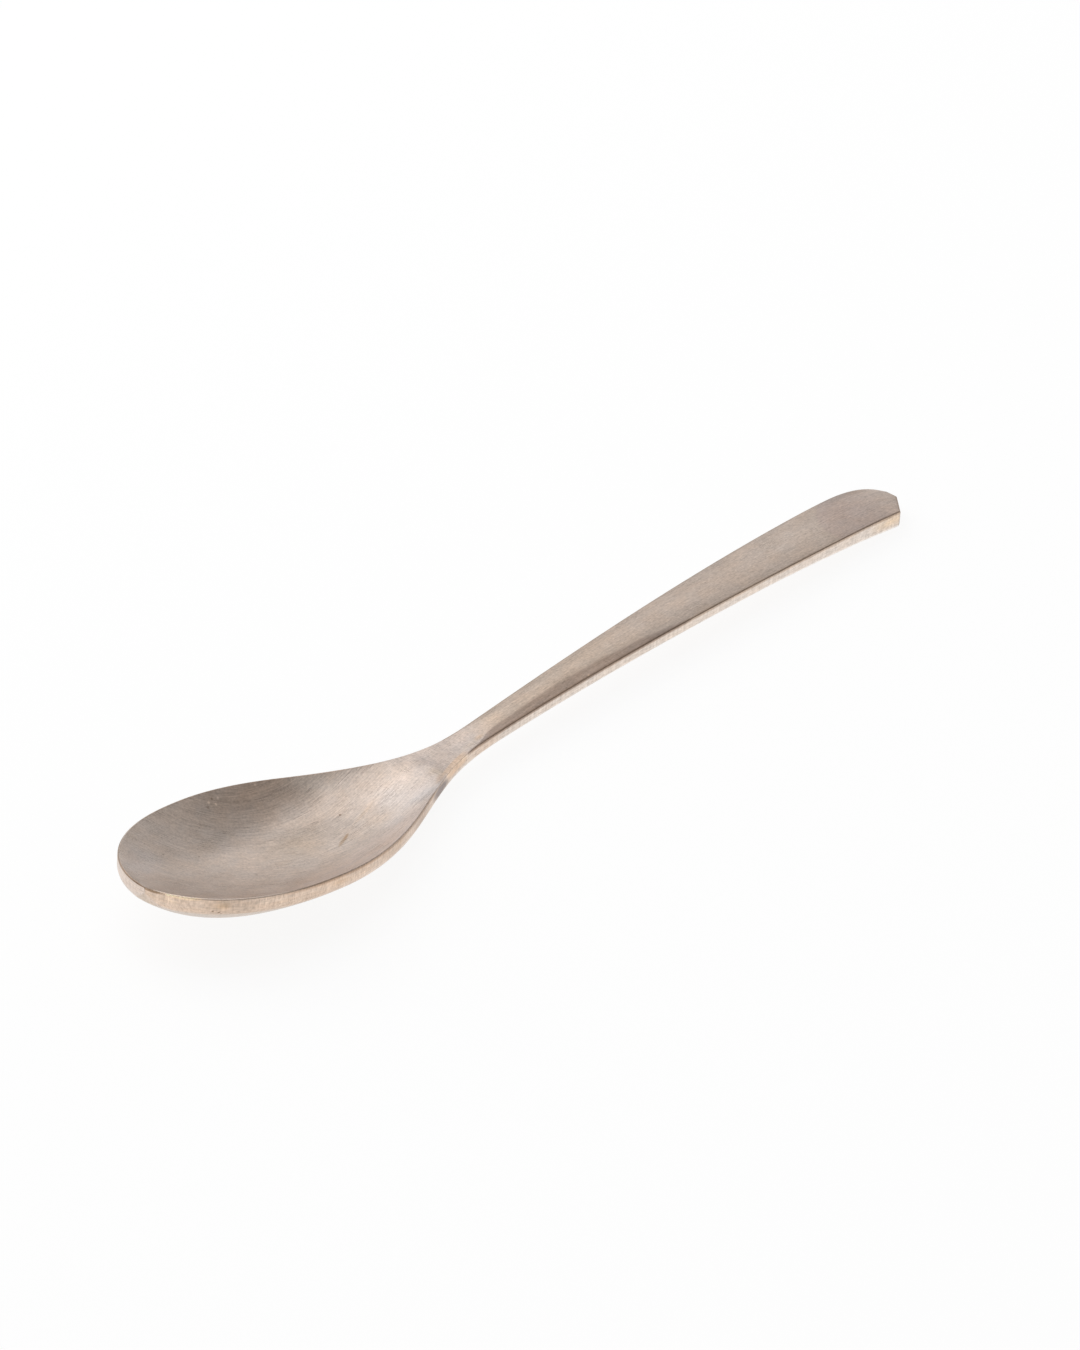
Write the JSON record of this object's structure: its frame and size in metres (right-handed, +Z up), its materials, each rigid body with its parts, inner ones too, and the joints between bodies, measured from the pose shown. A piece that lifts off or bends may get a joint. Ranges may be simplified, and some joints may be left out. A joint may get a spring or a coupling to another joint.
{
  "type": "tablespoon",
  "caption": "Forged metal tablespoon with a thick squared edge: an egg-shaped bowl for lifting food, a slim neck, and a flat handle that widens and thickens to a rounded end.",
  "frame": {"origin": "centre of the bounding box in plan, on the surface that the spoon rests on", "axes": "+X along the length from the bowl's tip to the handle's end, +Y to the left when the handle's end is ahead, +Z up, out of the bowl's hollow"},
  "size_m": [0.2014, 0.0402, 0.0151],
  "materials": {
    "brushed_champagne": "finely brushed steel with a pale champagne tone, bright along its worn edges"
  },
  "bodies": {
    "root": {"spoon": "brushed_champagne"}
  },
  "joints": []
}
